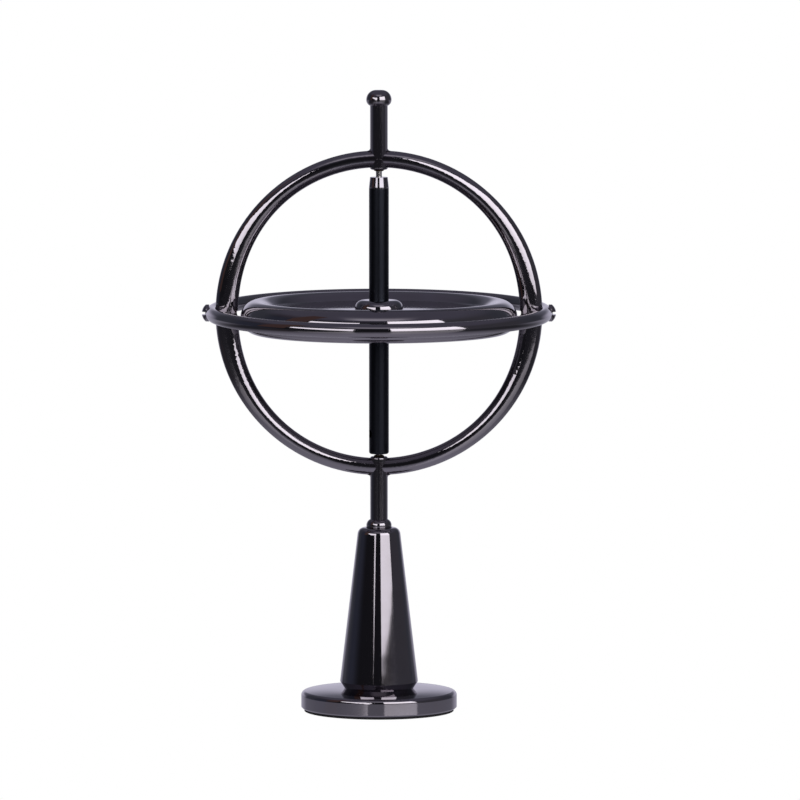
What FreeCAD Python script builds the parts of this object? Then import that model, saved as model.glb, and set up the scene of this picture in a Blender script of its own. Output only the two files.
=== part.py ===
import FreeCAD, Part
import math
import os

from FreeCAD import Vector

# A toy gyroscope on its stand. Millimetres, +Z up, origin at the middle of the underside.
# The upright ring lies in the XZ plane; the equator ring sits a touch out of level about its screws.

# Frame: two half rings that lap under the equator ring, each with a stem and a ball
FRAME_Z = 72.6
RING_R = 29.66
RING_POLE_R = 29.53
RING_THICK = 3.1
RING_SIDE_GROWTH = 1.02
RING_WIDTH = 3.0
LAP_HALF_HEIGHT = 1.9
LAP_SPLIT_R = 27.6
LAP_GAP = 0.02
STEM_R = 1.6
STEM_FILLET = 0.5
STEM_FLARE_SINK = 0.05
BALL_R = 2.3
BALL_CROWN_R = 1.75
BALL_SHOULDER = (2.1, 0.7)
BALL_NECK_RISE = 1.12
TOP_Z = 113.1
FOOT_BALL_Z = 33.88
BOSS_R = 1.65
BOSS_ROUNDING = 0.45
UPPER_BOSS_Z = 98.65
LOWER_BOSS_Z = 46.5

# Equator ring and its two screws
EQUATOR_R = 30.2
EQUATOR_TUBE_R = 1.29
EQUATOR_TILT = 1.6
SPOTFACE_X = 30.8
SCREW_HEAD_R = 1.55
SCREW_HEAD_HEIGHT = 1.35
SCREW_HEAD_RIM = 0.6
SCREW_SHANK_R = 0.7
SCREW_HOLE_R = 0.8
SCREW_TIP_X = 26.2
SCREW_SLOT_WIDTH = 0.55
SCREW_SLOT_DEPTH = 0.65
SPOTFACE_MARGIN = 0.1

# Bearings: a pin of each end of the rotor turns in a cup in each boss
CUP_R = 1.0
CUP_NOSE_R = 0.78
CUP_LENGTH = 2.2
CUP_NOSE_PROUD = 0.25
CUP_POCKET_LEAD = 0.5
PIVOT_R = 0.55
PIVOT_CLEARANCE = 0.05
PIVOT_BORE_DEPTH = 1.6
PIVOT_SEAT_DEPTH = 2.4
PIVOT_TIP_R = 0.05
PIVOT_END_GAP = 0.25

# Rotor
SHAFT_R = 1.8
SHAFT_TOP_Z = 97.3
SHAFT_BOTTOM_Z = 46.94
SHAFT_TAPER = 1.8
SHAFT_TAPER_R = 1.6
SHAFT_ROUNDING = 0.4
STRING_HOLE_Z = 50.65
STRING_HOLE_R = 0.75
STRING_HOLE_ANGLE = 20.0
WHEEL_Z = 71.87
RIM_CENTRE_R = 22.15
RIM_SECTION_R = 3.0
WEB_HALF = 1.45
WEB_FILLET = 0.8
HUB_R = 4.4
HUB_ROUNDING = 1.5
HUB_HALF = 3.1

# Stand
PAD_R = 13.6
PAD_HEIGHT = 0.5
BASE_R = 14.17
BASE_TOP_Z = 4.1
BASE_DOME_MID = (10.2, 3.96)
BASE_EDGE_Z = 3.65
BASE_ROUNDING = 0.8
BASE_EDGE_SLOPE = 5.5
BASE_CHAMFER = 0.25
COLUMN_NECK_R = 6.25
COLUMN_FOOT_R = 7.09
COLUMN_FOOT_Z = 5.4
CONE_TOP_R = 3.76
CUP_RIM_Z = 33.5
SHOULDER_ROUNDING = 1.2
BALL_CLEARANCE = 0.06
CUP_LIP_CHAMFER = 0.15
CUP_LIP_WIDTH = 0.1
STAND_SCREW_R = 1.5
STAND_SCREW_HOLE_R = 1.65
STAND_SCREW_HEAD_R = 2.75
STAND_SCREW_HEAD_HEIGHT = 1.4
COUNTERBORE_R = 3.0
COUNTERBORE_DEPTH = 1.55
STAND_SCREW_TOP_Z = 11.0
STAND_SCREW_SLOT_WIDTH = 0.8
STAND_SCREW_SLOT_DEPTH = 0.7
DRILL_TIP = 0.8
DRILL_MARGIN = 0.2

FAR = 100.0
Z_AXIS = Vector(0, 0, 1)
X_AXIS = Vector(1, 0, 0)


def point(r, z):
    """A point of an outline in the XZ half plane."""
    return Vector(r, 0, z)


def line(a, b):
    return Part.makeLine(point(*a), point(*b))


def arc(a, mid, b):
    return Part.Arc(point(*a), point(*mid), point(*b)).toShape()


def on_circle(centre, radius, degrees):
    """The point of a circle in the outline plane, at an angle from the outward direction."""
    turn = math.radians(degrees)
    return centre[0] + radius * math.cos(turn), centre[1] + radius * math.sin(turn)


def circle_arc(centre, radius, start, end):
    """An arc of a circle in the outline plane, from one angle to another."""
    middle = (start + end) / 2
    ends = [on_circle(centre, radius, degrees) for degrees in (start, middle, end)]
    return arc(*ends)


def revolve(edges):
    """Turns a closed outline once around the Z axis."""
    wire = Part.Wire(edges)
    return Part.makeSolid(Part.Face(wire).revolve(Vector(0, 0, 0), Z_AXIS, 360))


def revolve_points(points):
    """Turns an outline of straight lines once around the Z axis."""
    closed = points + points[:1]
    return revolve([line(a, b) for a, b in zip(closed, closed[1:])])


def cylinder(radius, height, base_z=0.0):
    return Part.makeCylinder(radius, height, Vector(0, 0, base_z))


def cylinder_x(radius, x0, x1, z=FRAME_Z):
    return Part.makeCylinder(radius, x1 - x0, Vector(x0, 0, z), X_AXIS)


def box(x0, x1, y_half, z0, z1):
    return Part.makeBox(x1 - x0, 2 * y_half, z1 - z0, Vector(x0, -y_half, z0))


def flipped(shape):
    """The shape turned upside down about the frame's centre."""
    turned = shape.copy()
    turned.rotate(Vector(0, 0, FRAME_Z), X_AXIS, 180)
    return turned


def mirrored_x(shape):
    return shape.mirror(Vector(0, 0, 0), X_AXIS)


# Frame


def ring_section(degrees):
    """The ring's oval section at an angle above the equator: thicker and further out at the sides."""
    turn = math.radians(degrees)
    thick = RING_THICK + RING_SIDE_GROWTH * math.cos(turn) ** 4
    outer_r = RING_POLE_R + (RING_R - RING_POLE_R) * math.cos(turn) ** 2
    outward = Vector(math.cos(turn), 0, math.sin(turn))
    centre = Vector(0, 0, FRAME_Z) + outward * (outer_r - thick / 2)
    along = Vector(-math.sin(turn), 0, math.cos(turn))
    oval = Part.Ellipse(Vector(0, 0, 0), thick / 2, RING_WIDTH / 2).toShape()
    turned = FreeCAD.Rotation(outward, along.cross(outward), along, "XYZ")
    oval.Placement = FreeCAD.Placement(centre, turned)
    return Part.Wire(oval)


def half_ring(inner_r, outer_r):
    """The upper half of the upright ring, with a lug of the ring's own shape left below the lap."""
    sections = [ring_section(degrees) for degrees in range(-15, 196, 15)]
    ring = Part.makeLoft(sections, True)
    above = box(-FAR, FAR, FAR, FRAME_Z + LAP_HALF_HEIGHT, FRAME_Z + FAR)
    lug = box(inner_r, outer_r, FAR, FRAME_Z - LAP_HALF_HEIGHT + LAP_GAP, FRAME_Z + FAR)
    return ring.common(above.fuse([lug, mirrored_x(lug)]))


def equator_torus(tube_r):
    """The equator ring's torus, turned a little about the line through its two screws."""
    torus = Part.makeTorus(EQUATOR_R, tube_r, Vector(0, 0, FRAME_Z))
    torus.rotate(Vector(0, 0, FRAME_Z), X_AXIS, EQUATOR_TILT)
    return torus


def equator_groove():
    """The space that the equator ring's tube takes out of the laps."""
    return equator_torus(EQUATOR_TUBE_R + LAP_GAP)


def screw_holes(radius, inner_x, outer_x):
    hole = cylinder_x(radius, inner_x, outer_x)
    return hole.fuse(mirrored_x(hole))


def stem_flare():
    """The small fillet where the stem leaves the ring: it runs out along the ring, not across it."""
    ring_top = FRAME_Z + RING_POLE_R - STEM_FLARE_SINK
    centre = (STEM_R + STEM_FILLET, ring_top + STEM_FILLET)
    edges = [
        line((0, ring_top - STEM_FILLET), (centre[0], ring_top)),
        circle_arc(centre, STEM_FILLET, 270, 180),
        line((STEM_R, centre[1]), (0, centre[1])),
        line((0, centre[1]), (0, ring_top - STEM_FILLET)),
    ]
    narrow = FreeCAD.Matrix()
    narrow.scale(1, 0.97 * STEM_R / centre[0], 1)
    return revolve(edges).transformGeometry(narrow)


def ring_stem(end_z):
    """The stem from inside the ring's tube up to a height."""
    root_z = FRAME_Z + RING_POLE_R - RING_THICK / 2
    return cylinder(STEM_R, end_z - root_z, root_z).fuse(stem_flare())


def neck_edges(ball_z, up):
    """The ball's shoulder, rounded from its widest line to the stem, above (up=1) or below (up=-1)."""
    wide = (BALL_R, ball_z)
    shoulder = (BALL_SHOULDER[0], ball_z + up * BALL_SHOULDER[1])
    stem = (STEM_R, ball_z + up * BALL_NECK_RISE)
    return [arc(wide, shoulder, stem), line(stem, (0, stem[1]))]


def finial():
    """The flattened ball on top of the upper stem."""
    crown_x = BALL_R - BALL_CROWN_R
    ball_z = TOP_Z - BALL_CROWN_R
    edges = [
        line((0, TOP_Z), (crown_x, TOP_Z)),
        circle_arc((crown_x, ball_z), BALL_CROWN_R, 90, 0),
        *neck_edges(ball_z, -1),
        line((0, ball_z - BALL_NECK_RISE), (0, TOP_Z)),
    ]
    return revolve(edges)


def foot_ball():
    """The ball under the lower stem: its lower half is a true half sphere that rolls in the cup."""
    edges = [
        circle_arc((0, FOOT_BALL_Z), BALL_R, -90, 0),
        *neck_edges(FOOT_BALL_Z, 1),
        line((0, FOOT_BALL_Z + BALL_NECK_RISE), (0, FOOT_BALL_Z - BALL_R)),
    ]
    return revolve(edges)


def boss(nose_z):
    """The bearing boss inside the top of the upper half ring, rounded at its nose."""
    deep_z = FRAME_Z + RING_POLE_R - RING_THICK / 2
    nose_r = BOSS_R - BOSS_ROUNDING
    side_z = nose_z + BOSS_ROUNDING
    edges = [
        line((0, nose_z), (nose_r, nose_z)),
        circle_arc((nose_r, side_z), BOSS_ROUNDING, -90, 0),
        line((BOSS_R, side_z), (BOSS_R, deep_z)),
        line((BOSS_R, deep_z), (0, deep_z)),
        line((0, deep_z), (0, nose_z)),
    ]
    return revolve(edges)


def bearing_cup(nose_z):
    """A small cup with a tapered nose and a blind bore with a conical seat, opening downwards."""
    mouth_z = nose_z - CUP_NOSE_PROUD
    bore_r = PIVOT_R + PIVOT_CLEARANCE
    seat_z = mouth_z + PIVOT_BORE_DEPTH
    outline = [
        (bore_r, mouth_z),
        (CUP_NOSE_R, mouth_z),
        (CUP_R, nose_z),
        (CUP_R, mouth_z + CUP_LENGTH),
        (0, mouth_z + CUP_LENGTH),
        (0, seat_z + bore_r / 2),
        (bore_r, seat_z),
    ]
    return revolve_points(outline)


def cup_pocket(nose_z):
    """The blind hole in the boss that a bearing cup is pressed into."""
    height = CUP_LENGTH - CUP_NOSE_PROUD + CUP_POCKET_LEAD
    return cylinder(CUP_R, height, nose_z - CUP_POCKET_LEAD)


def frame_halves():
    upper_end_z = TOP_Z - BALL_CROWN_R - BALL_NECK_RISE
    upper = half_ring(0, LAP_SPLIT_R - LAP_GAP)
    upper = upper.fuse([ring_stem(upper_end_z), finial(), boss(UPPER_BOSS_Z)])
    upper = upper.cut(cup_pocket(UPPER_BOSS_Z))
    upper = upper.cut(screw_holes(SCREW_SHANK_R, SCREW_TIP_X - 2, LAP_SPLIT_R + 1))

    lower_end_z = 2 * FRAME_Z - (FOOT_BALL_Z + BALL_NECK_RISE)
    lower_nose_z = 2 * FRAME_Z - LOWER_BOSS_Z
    lower = half_ring(LAP_SPLIT_R, RING_R + 1)
    lower = lower.fuse([ring_stem(lower_end_z), boss(lower_nose_z)])
    lower = lower.cut(cup_pocket(lower_nose_z))
    lower = flipped(lower).fuse(foot_ball())
    lower = lower.cut(screw_holes(SCREW_HOLE_R, LAP_SPLIT_R - 1, RING_R + 1))
    groove = equator_groove()
    return upper.cut(groove).removeSplitter(), lower.cut(groove).removeSplitter()


def equator_ring():
    ring = equator_torus(EQUATOR_TUBE_R)
    spot = cylinder_x(SCREW_HEAD_R + SPOTFACE_MARGIN, SPOTFACE_X, EQUATOR_R + EQUATOR_TUBE_R + 1)
    ring = ring.cut(spot.fuse(mirrored_x(spot)))
    return ring.cut(screw_holes(SCREW_HOLE_R, LAP_SPLIT_R, SPOTFACE_X + 1))


def ring_screw():
    """The right-hand screw: a slotted domed head, and a shank along X."""
    head = cylinder_x(SCREW_HEAD_R, SPOTFACE_X, SPOTFACE_X + SCREW_HEAD_RIM)
    rise = SCREW_HEAD_HEIGHT - SCREW_HEAD_RIM
    dome_r = (SCREW_HEAD_R**2 + rise**2) / (2 * rise)
    centre_x = SPOTFACE_X + SCREW_HEAD_HEIGHT - dome_r
    ball = Part.makeSphere(dome_r, Vector(centre_x, 0, FRAME_Z))
    dome = ball.common(cylinder_x(SCREW_HEAD_R, SPOTFACE_X + SCREW_HEAD_RIM, FAR))
    slot_x = SPOTFACE_X + SCREW_HEAD_HEIGHT - SCREW_SLOT_DEPTH
    half = SCREW_SLOT_WIDTH / 2
    slot = box(slot_x, FAR, FAR, FRAME_Z - half, FRAME_Z + half)
    shank = cylinder_x(SCREW_SHANK_R, SCREW_TIP_X, SPOTFACE_X)
    return head.fuse([dome, shank]).removeSplitter().cut(slot)


# Rotor


def pivot_pin(shaft_end_z, tip_z):
    """A pin seated in the shaft's upper end, with a conical tip."""
    seat_z = shaft_end_z - PIVOT_SEAT_DEPTH
    cone = PIVOT_R * 0.5
    outline = [(0, seat_z), (PIVOT_R, seat_z), (PIVOT_R, tip_z - cone), (PIVOT_TIP_R, tip_z), (0, tip_z)]
    return revolve_points(outline)


def pin_seat(shaft_end_z):
    return cylinder(PIVOT_R, PIVOT_SEAT_DEPTH + 1, shaft_end_z - PIVOT_SEAT_DEPTH)


def rotor_shaft():
    """The black shaft: tapered at the top, rounded at the bottom, with the string's cross hole."""
    round_centre = (SHAFT_R - SHAFT_ROUNDING, SHAFT_BOTTOM_Z + SHAFT_ROUNDING)
    edges = [
        line((0, SHAFT_BOTTOM_Z), (round_centre[0], SHAFT_BOTTOM_Z)),
        circle_arc(round_centre, SHAFT_ROUNDING, -90, 0),
        line((SHAFT_R, round_centre[1]), (SHAFT_R, SHAFT_TOP_Z - SHAFT_TAPER)),
        line((SHAFT_R, SHAFT_TOP_Z - SHAFT_TAPER), (SHAFT_TAPER_R, SHAFT_TOP_Z)),
        line((SHAFT_TAPER_R, SHAFT_TOP_Z), (0, SHAFT_TOP_Z)),
        line((0, SHAFT_TOP_Z), (0, SHAFT_BOTTOM_Z)),
    ]
    shaft = revolve(edges)
    hole = cylinder_x(STRING_HOLE_R, -2 * SHAFT_R, 2 * SHAFT_R, STRING_HOLE_Z)
    hole.rotate(Vector(0, 0, 0), Z_AXIS, STRING_HOLE_ANGLE)
    lower_seat = flipped(pin_seat(2 * FRAME_Z - SHAFT_BOTTOM_Z))
    return shaft.cut(pin_seat(SHAFT_TOP_Z).fuse([lower_seat, hole]))


def wheel_face():
    """The flywheel's upper outline about its middle plane: hub, web, fillet and half of the rim."""
    hub_flat_r = HUB_R - HUB_ROUNDING
    hub_side = HUB_HALF - HUB_ROUNDING
    fillet_z = WEB_HALF + WEB_FILLET
    reach = math.sqrt((RIM_SECTION_R + WEB_FILLET) ** 2 - fillet_z**2)
    fillet_centre = (RIM_CENTRE_R - reach, fillet_z)
    lean = math.degrees(math.atan2(fillet_z, reach))
    return [
        line((SHAFT_R, 0), (SHAFT_R, HUB_HALF)),
        line((SHAFT_R, HUB_HALF), (hub_flat_r, HUB_HALF)),
        circle_arc((hub_flat_r, hub_side), HUB_ROUNDING, 90, 0),
        line((HUB_R, hub_side), (HUB_R, WEB_HALF)),
        line((HUB_R, WEB_HALF), (fillet_centre[0], WEB_HALF)),
        circle_arc(fillet_centre, WEB_FILLET, -90, -lean),
        circle_arc((RIM_CENTRE_R, 0), RIM_SECTION_R, 180 - lean, 0),
        line((RIM_CENTRE_R + RIM_SECTION_R, 0), (SHAFT_R, 0)),
    ]


def flywheel():
    """A disc with a round heavy rim, a flat web and a hub button, alike above and below."""
    upper = revolve(wheel_face())
    upper.translate(Vector(0, 0, WHEEL_Z))
    lower = upper.mirror(Vector(0, 0, WHEEL_Z), Z_AXIS)
    return upper.fuse(lower).removeSplitter()


# Stand


def stand_base():
    """The round disc: slightly domed top, rounded upper edge, and a counterbored hole for the screw."""
    round_centre = (BASE_R - BASE_ROUNDING, BASE_EDGE_Z - BASE_ROUNDING)
    rounding_start = on_circle(round_centre, BASE_ROUNDING, 90 - BASE_EDGE_SLOPE)
    bore_z = PAD_HEIGHT + COUNTERBORE_DEPTH
    edges = [
        line((STAND_SCREW_HOLE_R, BASE_TOP_Z), (COLUMN_NECK_R, BASE_TOP_Z)),
        arc((COLUMN_NECK_R, BASE_TOP_Z), BASE_DOME_MID, rounding_start),
        circle_arc(round_centre, BASE_ROUNDING, 90 - BASE_EDGE_SLOPE, 0),
        line((BASE_R, round_centre[1]), (BASE_R, PAD_HEIGHT + BASE_CHAMFER)),
        line((BASE_R, PAD_HEIGHT + BASE_CHAMFER), (BASE_R - BASE_CHAMFER, PAD_HEIGHT)),
        line((BASE_R - BASE_CHAMFER, PAD_HEIGHT), (COUNTERBORE_R, PAD_HEIGHT)),
        line((COUNTERBORE_R, PAD_HEIGHT), (COUNTERBORE_R, bore_z)),
        line((COUNTERBORE_R, bore_z), (STAND_SCREW_HOLE_R, bore_z)),
        line((STAND_SCREW_HOLE_R, bore_z), (STAND_SCREW_HOLE_R, BASE_TOP_Z)),
    ]
    return revolve(edges)


def stand_column():
    """The cone: undercut foot, straight taper, rounded shoulder and a cup for the ball foot."""
    cup_r = BALL_R + BALL_CLEARANCE
    lip_r = math.sqrt(cup_r**2 - (FOOT_BALL_Z - CUP_RIM_Z + CUP_LIP_CHAMFER) ** 2)
    lip = (lip_r, CUP_RIM_Z - CUP_LIP_CHAMFER)
    rim_in = (cup_r + CUP_LIP_WIDTH, CUP_RIM_Z)
    cup_bottom = (0, FOOT_BALL_Z - cup_r)
    start = math.degrees(math.atan2(lip[1] - FOOT_BALL_Z, lip[0]))
    slope = math.atan2(COLUMN_FOOT_R - CONE_TOP_R, CUP_RIM_Z - COLUMN_FOOT_Z)
    set_back = SHOULDER_ROUNDING * math.tan(math.pi / 4 - slope / 2)
    shoulder_top = (CONE_TOP_R - set_back, CUP_RIM_Z)
    shoulder_centre = (shoulder_top[0], CUP_RIM_Z - SHOULDER_ROUNDING)
    shoulder_end = on_circle(shoulder_centre, SHOULDER_ROUNDING, math.degrees(slope))
    hole_side_z = STAND_SCREW_TOP_Z + DRILL_MARGIN
    hole_top = (0, hole_side_z + DRILL_TIP)
    edges = [
        line((STAND_SCREW_R, BASE_TOP_Z), (COLUMN_NECK_R, BASE_TOP_Z)),
        line((COLUMN_NECK_R, BASE_TOP_Z), (COLUMN_FOOT_R, COLUMN_FOOT_Z)),
        line((COLUMN_FOOT_R, COLUMN_FOOT_Z), shoulder_end),
        circle_arc(shoulder_centre, SHOULDER_ROUNDING, math.degrees(slope), 90),
        line(shoulder_top, rim_in),
        line(rim_in, lip),
        circle_arc((0, FOOT_BALL_Z), cup_r, start, -90),
        line(cup_bottom, hole_top),
        line(hole_top, (STAND_SCREW_R, hole_side_z)),
        line((STAND_SCREW_R, hole_side_z), (STAND_SCREW_R, BASE_TOP_Z)),
    ]
    return revolve(edges)


def stand_screw():
    """The screw from below, with a slotted flat head in the counterbore."""
    head_top = PAD_HEIGHT + COUNTERBORE_DEPTH
    head_bottom = head_top - STAND_SCREW_HEAD_HEIGHT
    head = cylinder(STAND_SCREW_HEAD_R, STAND_SCREW_HEAD_HEIGHT, head_bottom)
    shank = cylinder(STAND_SCREW_R, STAND_SCREW_TOP_Z - head_top, head_top)
    half = STAND_SCREW_SLOT_WIDTH / 2
    slot = box(-half, half, FAR, 0, head_bottom + STAND_SCREW_SLOT_DEPTH)
    return head.fuse(shank).removeSplitter().cut(slot)


def stand_pad():
    return cylinder(PAD_R, PAD_HEIGHT)


def build():
    upper, lower = frame_halves()
    lower_cup = flipped(bearing_cup(2 * FRAME_Z - LOWER_BOSS_Z))
    tip = PIVOT_BORE_DEPTH - PIVOT_END_GAP
    upper_tip_z = UPPER_BOSS_Z - CUP_NOSE_PROUD + tip
    lower_tip_z = 2 * FRAME_Z - LOWER_BOSS_Z - CUP_NOSE_PROUD + tip
    return {
        "upper_frame_half": upper,
        "lower_frame_half": lower,
        "equator_ring": equator_ring(),
        "right_ring_screw": ring_screw(),
        "left_ring_screw": mirrored_x(ring_screw()),
        "upper_bearing_cup": bearing_cup(UPPER_BOSS_Z),
        "lower_bearing_cup": lower_cup,
        "rotor_shaft": rotor_shaft(),
        "upper_pivot_pin": pivot_pin(SHAFT_TOP_Z, upper_tip_z),
        "lower_pivot_pin": flipped(pivot_pin(2 * FRAME_Z - SHAFT_BOTTOM_Z, lower_tip_z)),
        "flywheel": flywheel(),
        "stand_column": stand_column(),
        "stand_base": stand_base(),
        "stand_screw": stand_screw(),
        "stand_pad": stand_pad(),
    }


os.makedirs("parts", exist_ok=True)
for node, shape in build().items():
    solids = shape.Solids
    print(node, "solids", len(solids), "valid", shape.isValid(), "volume", round(shape.Volume, 3))
    solids[0].exportStep(f"parts/{node}.step")
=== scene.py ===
import math

import bmesh
import bpy
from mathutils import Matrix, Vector


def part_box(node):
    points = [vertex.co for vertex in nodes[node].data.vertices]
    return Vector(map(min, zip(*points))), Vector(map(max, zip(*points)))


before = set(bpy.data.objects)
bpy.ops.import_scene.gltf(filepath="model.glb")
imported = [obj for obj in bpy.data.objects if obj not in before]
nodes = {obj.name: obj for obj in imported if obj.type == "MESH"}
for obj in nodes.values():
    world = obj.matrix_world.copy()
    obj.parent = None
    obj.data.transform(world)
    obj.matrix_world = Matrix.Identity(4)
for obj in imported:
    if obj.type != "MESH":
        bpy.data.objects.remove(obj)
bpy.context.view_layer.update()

# The stage: where the camera looks and stands, how far off the panels are, the table's half width,
# and the light of the two softboxes
AIM = Vector((0.00382, 0.0, 0.05675))
CAMERA_DISTANCE = 1.5
CAMERA_ELEVATION = 5.15
CAMERA_LENS = 371.7
PANEL_DISTANCE = 0.7
FLOOR_HALF = 4.0
WHITE = (1.0, 1.0, 1.0, 1.0)
SOFTBOX_LIGHT = (1.0, 0.97, 1.0)
LACQUER_IOR = 1.5

# How far the polished taper reaches down from the shaft's top
POLISHED_LENGTH = 0.002
shaft_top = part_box("rotor_shaft")[1].z


# Shader maths


class Signal:
    """A number in a shader. Arithmetic on it adds Math nodes."""

    def __init__(self, tree, socket):
        self.tree = tree
        self.socket = socket

    def math(self, operation, first, second=None):
        made = self.tree.nodes.new("ShaderNodeMath")
        made.operation = operation
        for place, value in zip(made.inputs, (first, second)):
            plug(self.tree, place, value)
        return Signal(self.tree, made.outputs[0])

    def __add__(self, other):
        return self.math("ADD", self, other)

    def __sub__(self, other):
        return self.math("SUBTRACT", self, other)

    def __mul__(self, other):
        return self.math("MULTIPLY", self, other)

    def __radd__(self, other):
        return self.math("ADD", other, self)

    def __rsub__(self, other):
        return self.math("SUBTRACT", other, self)

    def __rmul__(self, other):
        return self.math("MULTIPLY", other, self)

    def power(self, exponent):
        return self.math("POWER", self, exponent)

    def absolute(self):
        return self.math("ABSOLUTE", self)

    def clamped(self):
        return self.math("MAXIMUM", self.math("MINIMUM", self, 1.0), 0.0)

    def step(self, low, high):
        """0 below low, 1 above high, and a smooth rise between them."""
        made = self.tree.nodes.new("ShaderNodeMapRange")
        made.interpolation_type = "SMOOTHSTEP"
        for name, value in (("Value", self), ("From Min", low), ("From Max", high)):
            plug(self.tree, made.inputs[name], value)
        return Signal(self.tree, made.outputs["Result"])


def plug(tree, place, value):
    """Sets a socket to a value, or links it."""
    if value is None:
        return
    if isinstance(value, Signal):
        value = value.socket
    if isinstance(value, bpy.types.NodeSocket):
        tree.links.new(value, place)
    else:
        place.default_value = value


class Shading:
    """A node tree being filled in, for a material or for the world."""

    def __init__(self, tree):
        self.tree = tree

    def node(self, kind, settings=None, sockets=None, output=0):
        made = self.tree.nodes.new("ShaderNode" + kind)
        for name, value in (settings or {}).items():
            setattr(made, name, value)
        for name, value in (sockets or {}).items():
            plug(self.tree, made.inputs[name], value)
        return Signal(self.tree, made.outputs[output])

    def place(self):
        return self.node("TexCoord", output="Object")

    def xyz(self, vector):
        return [self.node("SeparateXYZ", sockets={"Vector": vector}, output=axis) for axis in range(3)]

    def noise(self, vector, scale, detail=2.0, roughness=0.5):
        sockets = {"Vector": vector, "Scale": scale, "Detail": detail, "Roughness": roughness}
        return self.node("TexNoise", sockets=sockets)

    def mix(self, factor, first, second):
        made = self.tree.nodes.new("ShaderNodeMix")
        made.data_type = "RGBA"
        plug(self.tree, made.inputs["Factor"], factor)
        plug(self.tree, made.inputs["A"], first)
        plug(self.tree, made.inputs["B"], second)
        return made.outputs["Result"]

    def bump(self, height, distance):
        return self.node("Bump", sockets={"Height": height, "Distance": distance, "Strength": 1.0})


def finish(name):
    """A new material with its shading and its Principled shader's sockets."""
    material = bpy.data.materials.new(name)
    material.use_nodes = True
    tree = material.node_tree
    return material, Shading(tree), tree.nodes["Principled BSDF"].inputs


# Finishes


def plated_metal(name, colour, warm, roughness, ripple):
    """Polished black nickel over a zinc casting: faint ripples, handling smudges and fine wipe marks."""
    material, shade, shader = finish(name)
    place = shade.place()
    smudge = shade.noise(place, 90.0, 4.0, 0.6).step(0.45, 0.75)
    cloud = shade.noise(place, 260.0, 2.0)
    wipe_place = shade.node("Mapping", sockets={"Vector": place, "Scale": (900.0, 900.0, 6000.0)})
    wipe = shade.noise(wipe_place, 1.0, 3.0, 0.7).step(0.6, 0.8)
    dust = shade.noise(place, 2600.0, 1.0).step(0.76, 0.8)
    shader["Metallic"].default_value = 1.0
    plug(shade.tree, shader["Base Color"], shade.mix(cloud, (*colour, 1.0), (*warm, 1.0)))
    rough = roughness + smudge * 0.035 + wipe * 0.02 + dust * 0.08
    plug(shade.tree, shader["Roughness"], rough)
    waves = shade.noise(place, 300.0, 1.0) + dust * 0.01
    plug(shade.tree, shader["Normal"], shade.bump(waves, ripple))
    return material


def black_shaft():
    """Satin black plating, with the polished taper at the shaft's upper end."""
    material, shade, shader = finish("satin black shaft")
    place = shade.place()
    height = shade.xyz(place)[2]
    taper_foot = shaft_top - POLISHED_LENGTH
    fade = 0.0001
    polished = height.step(taper_foot - fade, taper_foot + fade)
    grain_place = shade.node("Mapping", sockets={"Vector": place, "Scale": (1500.0, 1500.0, 9000.0)})
    grain = shade.noise(grain_place, 1.0, 3.0, 0.6)
    colour = shade.mix(polished, (0.028, 0.031, 0.04, 1.0), (0.33, 0.32, 0.35, 1.0))
    shader["Metallic"].default_value = 1.0
    plug(shade.tree, shader["Base Color"], colour)
    rough = 0.3 - polished * 0.24 + grain * 0.06
    plug(shade.tree, shader["Roughness"], rough)
    plug(shade.tree, shader["Normal"], shade.bump(grain * (1 - polished), 0.000004))
    return material


def turned_steel(name, colour, roughness):
    """Bright turned steel with fine rings around its axis."""
    material, shade, shader = finish(name)
    place = shade.place()
    ring_place = shade.node("Mapping", sockets={"Vector": place, "Scale": (400.0, 400.0, 12000.0)})
    rings = shade.noise(ring_place, 1.0, 2.0)
    shader["Metallic"].default_value = 1.0
    plug(shade.tree, shader["Base Color"], shade.mix(rings, (*colour, 1.0), (0.42, 0.41, 0.4, 1.0)))
    plug(shade.tree, shader["Roughness"], roughness + rings * 0.12)
    plug(shade.tree, shader["Normal"], shade.bump(rings, 0.000004))
    return material


def bronze():
    """Plain bronze, darkened by oil."""
    material, shade, shader = finish("oiled bronze")
    place = shade.place()
    stain = shade.noise(place, 2400.0, 4.0, 0.6)
    shader["Metallic"].default_value = 1.0
    colour = shade.mix(stain, (0.32, 0.2, 0.1, 1.0), (0.1, 0.07, 0.045, 1.0))
    plug(shade.tree, shader["Base Color"], colour)
    plug(shade.tree, shader["Roughness"], 0.25 + stain * 0.25)
    return material


def black_foam():
    """Matte black foam with open pores."""
    material, shade, shader = finish("black foam")
    place = shade.place()
    pores = shade.noise(place, 3200.0, 3.0, 0.6)
    colour = shade.mix(pores, (0.004, 0.004, 0.004, 1.0), (0.02, 0.02, 0.021, 1.0))
    plug(shade.tree, shader["Base Color"], colour)
    plug(shade.tree, shader["Roughness"], 0.8 + pores * 0.15)
    plug(shade.tree, shader["Normal"], shade.bump(pores, 0.00008))
    return material


def dress(material, *names):
    for name in names:
        nodes[name].data.materials.clear()
        nodes[name].data.materials.append(material)


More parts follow.
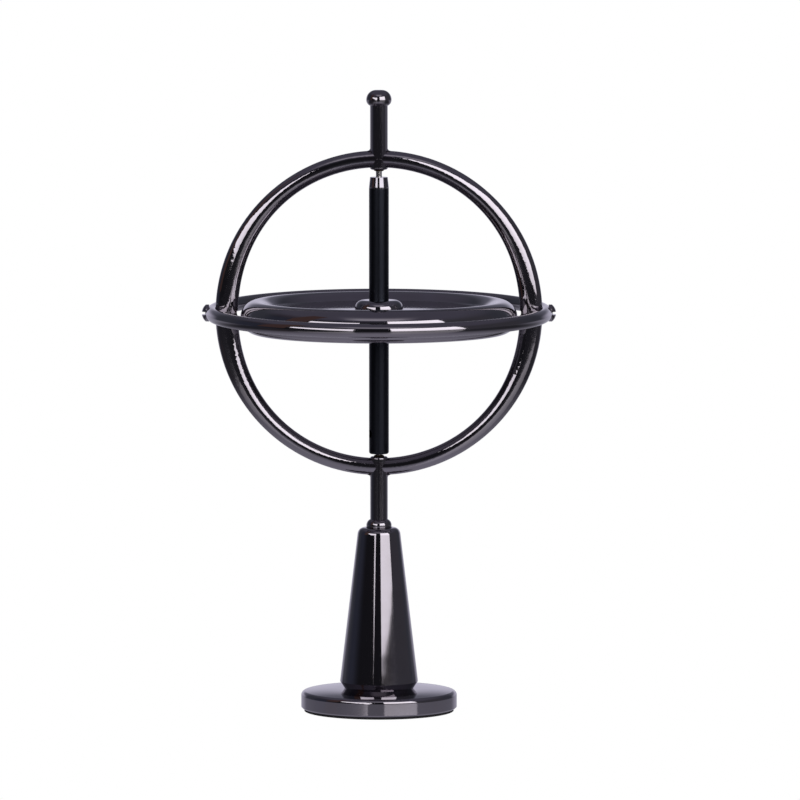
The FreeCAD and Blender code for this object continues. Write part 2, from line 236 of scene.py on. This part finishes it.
NICKEL = (0.34, 0.325, 0.36)
NICKEL_WARM = (0.3, 0.28, 0.295)
frame_nickel = plated_metal("black nickel frame", NICKEL, NICKEL_WARM, 0.045, 0.0000025)
wheel_nickel = plated_metal("black nickel wheel", NICKEL, NICKEL_WARM, 0.04, 0.000002)
stand_nickel = plated_metal("black nickel stand", NICKEL, NICKEL_WARM, 0.045, 0.0000025)
dress(frame_nickel, "upper_frame_half", "lower_frame_half", "equator_ring")
dress(frame_nickel, "left_ring_screw", "right_ring_screw")
dress(wheel_nickel, "flywheel")
dress(stand_nickel, "stand_column", "stand_base")
dress(black_shaft(), "rotor_shaft")
dress(turned_steel("bright pivot steel", (0.68, 0.67, 0.66), 0.12), "upper_pivot_pin", "lower_pivot_pin")
dress(turned_steel("zinc plated screw", (0.55, 0.55, 0.56), 0.25), "stand_screw")
dress(bronze(), "upper_bearing_cup", "lower_bearing_cup")
dress(black_foam(), "stand_pad")


# The stage


def stage_object(name, mesh):
    made = bpy.data.objects.new(name, mesh)
    bpy.context.scene.collection.objects.link(made)
    return made


def floor():
    """A lacquered pale table, white to the eye. The metal sees a painted glow on it: painted shade in
    front, with a painted pool of light around the object and a painted pale far side."""
    made = bpy.data.meshes.new("table")
    grid = bmesh.new()
    bmesh.ops.create_grid(grid, x_segments=1, y_segments=1, size=FLOOR_HALF)
    grid.to_mesh(made)
    grid.free()
    material = bpy.data.materials.new("pale table")
    material.use_nodes = True
    shade = Shading(material.node_tree)
    shade.tree.nodes.remove(shade.tree.nodes["Principled BSDF"])
    # The glow that the metal sees is painted light and shade: a dark painted front, a painted pool of
    # light around the object, and a painted pale far side
    dark, painted_light_pool, painted_far_light = (0.04, 0.04, 0.048, 1.0), (0.38, 0.37, 0.44, 1.0), (0.5, 0.49, 0.58, 1.0)
    pool_squash = 2.2
    pool_start, pool_end = 0.04, 0.34
    far_start, far_end = 0.04, 0.3
    across, along, _ = shade.xyz(shade.place())
    squashed = across * pool_squash
    reach = (squashed * squashed + along * along).power(0.5)
    pool = 1 - reach.step(pool_start, pool_end)
    front = shade.mix(pool, dark, painted_light_pool)
    glow = shade.mix(along.step(far_start, far_end), front, painted_far_light)
    lit = shade.node("Emission", sockets={"Color": glow})
    gloss = shade.node("BsdfGlossy", sockets={"Color": WHITE, "Roughness": 0.16})
    fresnel = shade.node("Fresnel", sockets={"IOR": LACQUER_IOR})
    seen_in_metal = shade.node("MixShader", sockets={0: fresnel, 1: lit, 2: gloss})
    white = shade.node("Emission", sockets={"Color": WHITE})
    eye = shade.node("LightPath", output="Is Camera Ray")
    table = shade.node("MixShader", sockets={0: eye, 1: seen_in_metal, 2: white})
    plug(shade.tree, shade.tree.nodes["Material Output"].inputs["Surface"], table)
    made.materials.append(material)
    stage_object("table", made)


def panel(name, turns, rises, colour, low, high):
    """A studio panel: the patch of a sphere between two turns, in degrees from the camera's side and
    positive to the right. rises are the heights, in degrees, of its lower edge at the first and the
    second turn, and of its top. Its light goes from low at the bottom to high."""
    steps = 24
    made = bpy.data.meshes.new(name)
    grid = bmesh.new()
    bmesh.ops.create_grid(grid, x_segments=steps, y_segments=steps, size=0.5)
    bottom_start, bottom_end, top = rises
    for corner in grid.verts:
        across = corner.co.x + 0.5
        turn = math.radians(turns[0] + (turns[1] - turns[0]) * across)
        bottom = bottom_start + (bottom_end - bottom_start) * across
        rise = math.radians(bottom + (top - bottom) * (corner.co.y + 0.5))
        flat = PANEL_DISTANCE * math.cos(rise)
        height = PANEL_DISTANCE * math.sin(rise)
        corner.co = (flat * math.sin(turn), -flat * math.cos(turn), height)
    grid.to_mesh(made)
    grid.free()
    material = bpy.data.materials.new(name)
    material.use_nodes = True
    shade = Shading(material.node_tree)
    shade.tree.nodes.remove(shade.tree.nodes["Principled BSDF"])
    rise_start, rise_end = 0.05, 0.3
    height = shade.xyz(shade.place())[2]
    dim = (*[low / high * part for part in colour], 1.0)
    tint = shade.mix(height.step(rise_start, rise_end), dim, (*colour, 1.0))
    light = shade.node("Emission", sockets={"Color": tint, "Strength": high})
    plug(shade.tree, shade.tree.nodes["Material Output"].inputs["Surface"], light)
    made.materials.append(material)
    stage_object(name, made).visible_camera = False


def studio():
    """White to the eye. The metal sees a dim room that is paler at the right, a bluish ceiling that is
    browner at the left, a soft glow above the front, and a pale backdrop behind the object."""
    world = bpy.data.worlds.new("studio")
    bpy.context.scene.world = world
    world.use_nodes = True
    shade = Shading(world.node_tree)
    shade.tree.nodes.clear()
    direction = shade.node("TexCoord", output="Generated")
    across, away, up = shade.xyz(direction)
    right = across.step(0.45, 0.75)
    left = 1 - across.step(-0.9, -0.6)
    room = shade.mix(right, (0.018, 0.018, 0.022, 1.0), (0.085, 0.083, 0.098, 1.0))
    room = shade.mix(left * away.step(-0.5, 0.1), room, (0.05, 0.055, 0.08, 1.0))
    room = shade.mix(away.step(0.2, 0.55), room, (0.075, 0.08, 0.1, 1.0))
    ceiling = shade.mix(left, (0.13, 0.125, 0.165, 1.0), (0.1, 0.07, 0.075, 1.0))
    room = shade.mix(up.step(0.45, 0.8), room, ceiling)
    front = (away * -1.0).clamped()
    middle = 1 - across.absolute().step(0.2, 0.45)
    above = front * middle * up.step(0.68, 0.76) * (1 - up.step(0.8, 0.97))
    room = shade.mix(above, room, (0.9, 0.86, 0.93, 1.0))
    behind = away.step(0.7, 0.93)
    haze = behind * (1 - up.step(0.2, 0.75))
    room = shade.mix(haze, room, (0.18, 0.18, 0.23, 1.0))
    low = 1 - up.step(0.1, 0.3)
    room = shade.mix(behind * low, room, (0.62, 0.6, 0.73, 1.0))
    eye = shade.node("LightPath", output="Is Camera Ray")
    colour = shade.mix(eye, room, WHITE)
    light = shade.node("Background", sockets={"Color": colour})
    output = shade.tree.nodes.new("ShaderNodeOutputWorld")
    plug(shade.tree, output.inputs["Surface"], light)


def camera():
    made = bpy.data.objects.new("camera", bpy.data.cameras.new("camera"))
    bpy.context.scene.collection.objects.link(made)
    rise = math.radians(CAMERA_ELEVATION)
    made.location = AIM + CAMERA_DISTANCE * Vector((0.0, -math.cos(rise), math.sin(rise)))
    made.rotation_euler = (math.radians(90.0 - CAMERA_ELEVATION), 0.0, 0.0)
    made.data.lens = CAMERA_LENS
    made.data.clip_end = 20.0
    bpy.context.scene.camera = made


floor()
panel("right softbox", (8.0, 58.0), (7.3, 7.3, 44.0), SOFTBOX_LIGHT, 1.9, 2.8)
panel("left softbox", (-16.5, -62.0), (7.0, 25.0, 34.0), SOFTBOX_LIGHT, 1.7, 2.4)
panel("brown card", (-64.0, -86.0), (9.0, 9.0, 60.0), (0.5, 0.3, 0.27), 0.17, 0.22)
studio()
camera()
bpy.context.scene.view_settings.view_transform = "Standard"
